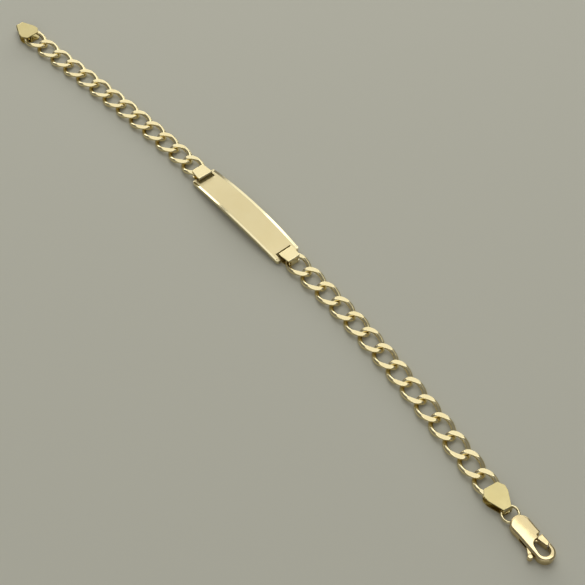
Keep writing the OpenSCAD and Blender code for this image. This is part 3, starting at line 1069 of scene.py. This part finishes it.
class BRACELET_OT_lever(bpy.types.Operator):
    """Casts the lever: gate, web and thumb nub."""

    bl_idname = "bracelet.lever"
    bl_label = "Clasp lever"

    def execute(self, context):
        s = sizes()
        plan = ClaspPlan(s)
        middle = s.clasp_thickness / 2
        gate = blank(plan.gate_line(s), s.inset, s.clasp_thickness - s.inset, s.gate_edge)
        arm = (plan.pivot[0] + 1.2, -plan.belly_r + 0.3)
        nub = (plan.pivot[0] + s.nub_reach, -plan.belly_r - plan.SIDE_INSET - s.nub / 2)
        web, peg = (
            (middle - height / 2, middle + height / 2) for height in (s.lever_web, s.nub_height)
        )
        root = (plan.pivot[0] + plan.cheek_r + 0.4, plan.gate_side - 0.6)
        hub, rod = plan.cheek_r - 0.3, s.lever_web / 2
        solids = [
            gate,
            blank(capsule(plan.pivot, hub, root, rod), *web),
            blank(capsule(plan.pivot, hub, arm, rod), *web),
            blank(capsule(arm, rod, nub, rod), *web),
            blank(disc(nub, s.nub / 2), *peg, s.gate_edge),
        ]
        bore = blank(disc(plan.pivot, PIN_BORE), -OVERCUT, s.clasp_thickness + OVERCUT)
        mesh = cast(solids, [bore], s.voxel * LEVER_GRID)
        set_in_place(mesh, plan.axes)
        finish_piece("lever", mesh, "clasp_gold", "lever", ["clasp_lever"], sharp=60)
        return {"FINISHED"}


# Stage


def softbox(name, spot, aim, width, height, glow):
    """A large diffused lamp that looks at a point; glow is how bright its cloth looks."""
    data = bpy.data.lights.new(name, "AREA")
    data.shape = "RECTANGLE"
    data.size, data.size_y = width, height
    data.energy = glow * math.pi * width * height
    data.color = linear(colours().light)[:3]
    lamp = bpy.data.objects.new(name, data)
    lamp.location = spot
    lamp.rotation_euler = (Vector(aim) - Vector(spot)).to_track_quat("-Z", "Y").to_euler()
    bpy.context.scene.collection.objects.link(lamp)


def studio_world(horizon, zenith):
    """A plain grey room: dim walls and a bright ceiling, blended by height."""
    world = bpy.data.worlds.new("studio")
    world.use_nodes = True
    tree = world.node_tree
    tree.nodes.clear()
    place = add_node(tree, "ShaderNodeTexCoord").outputs["Generated"]
    height = add_node(tree, "ShaderNodeSeparateXYZ", {"Vector": place}).outputs["Z"]
    level = add_node(
        tree,
        "ShaderNodeMapRange",
        {"Value": height, "From Min": 0.0, "From Max": 1.0, "To Min": horizon, "To Max": zenith},
        interpolation_type="SMOOTHSTEP",
    )
    shade = add_node(
        tree,
        "ShaderNodeBackground",
        {"Color": linear(colours().room), "Strength": level.outputs["Result"]},
    )
    add_node(tree, "ShaderNodeOutputWorld", {"Surface": shade.outputs["Background"]})
    return world


class BRACELET_OT_stage(bpy.types.Operator):
    """Sets the camera, the floor and the soft studio light."""

    bl_idname = "bracelet.stage"
    bl_label = "Stage"

    def execute(self, context):
        stage = context.scene.bracelet_stage
        turn, rise = math.radians(stage.azimuth), math.radians(stage.elevation)
        back = Vector(
            (math.sin(turn) * math.cos(rise), -math.cos(turn) * math.cos(rise), math.sin(rise))
        )
        aim = Vector((PLATE_MIDDLE.x + stage.aim_x, PLATE_MIDDLE.y + stage.aim_y, 0)) * MM
        data = bpy.data.cameras.new("camera")
        data.sensor_width = 36.0
        data.lens = stage.lens
        data.clip_start, data.clip_end = 0.01, 10.0
        camera = bpy.data.objects.new("camera", data)
        camera.location = aim + back * stage.distance * MM
        camera.rotation_euler = (-back).to_track_quat("-Z", "Y").to_euler()
        context.scene.collection.objects.link(camera)
        context.scene.camera = camera

        floor_mesh = bpy.data.meshes.new("floor")
        corners = ((-1, -1), (1, -1), (1, 1), (-1, 1))
        floor_mesh.from_pydata(
            [(x * FLOOR_HALF, y * FLOOR_HALF, 0) for x, y in corners], [], [(0, 1, 2, 3)]
        )
        floor_mesh.materials.append(matt_paint("matt_board", colours().floor))
        floor = bpy.data.objects.new("floor", floor_mesh)
        context.scene.collection.objects.link(floor)

        away = Vector((-math.sin(turn), math.cos(turn), 0))
        up = Vector((0, 0, 1))
        # Degrees from the horizon beyond the bracelet; distance, width and height in metres
        for name, rise, far, width, height, glow in (
            ("key", 52, 0.95, 0.9, 0.85, stage.key),
            ("top", 74, 0.85, 1.2, 0.18, stage.top),
            ("strip", 17, 0.85, 1.4, 0.25, stage.strip),
            ("fill", 145, 0.95, 1.2, 0.7, stage.fill),
        ):
            lean = math.radians(rise)
            spot = aim + (away * math.cos(lean) + up * math.sin(lean)) * far
            softbox(name, spot, aim, width, height, glow)
        context.scene.world = studio_world(stage.horizon, stage.zenith)
        context.scene.view_settings.view_transform = "Standard"
        return {"FINISHED"}


class BRACELET_PT_panel(bpy.types.Panel):
    """Lists the sizes, colours and steps."""

    bl_idname = "BRACELET_PT_panel"
    bl_label = "Id bracelet"
    bl_space_type = "VIEW_3D"
    bl_region_type = "UI"
    bl_category = "Bracelet"

    def draw(self, context):
        layout = self.layout
        for step in STEPS:
            layout.operator(step.bl_idname)
        for group in (
            context.scene.bracelet_sizes,
            context.scene.bracelet_colours,
            context.scene.bracelet_stage,
        ):
            box = layout.box()
            for name in group.__annotations__:
                box.prop(group, name)


GROUPS = {
    "bracelet_sizes": BraceletSizes,
    "bracelet_colours": BraceletColours,
    "bracelet_stage": StageSettings,
}
STEPS = (
    BRACELET_OT_plate,
    BRACELET_OT_straps,
    BRACELET_OT_links,
    BRACELET_OT_caps,
    BRACELET_OT_ring,
    BRACELET_OT_clasp,
    BRACELET_OT_lever,
    BRACELET_OT_stage,
)


def register():
    for name, group in GROUPS.items():
        bpy.utils.register_class(group)
        setattr(bpy.types.Scene, name, bpy.props.PointerProperty(type=group))
    for step in (*STEPS, BRACELET_PT_panel):
        bpy.utils.register_class(step)


def unregister():
    for step in (BRACELET_PT_panel, *reversed(STEPS)):
        bpy.utils.unregister_class(step)
    for name, group in GROUPS.items():
        delattr(bpy.types.Scene, name)
        bpy.utils.unregister_class(group)


def main():
    register()
    for step in STEPS:
        group, name = step.bl_idname.split(".")
        getattr(getattr(bpy.ops, group), name)()


if __name__ == "__main__":
    main()
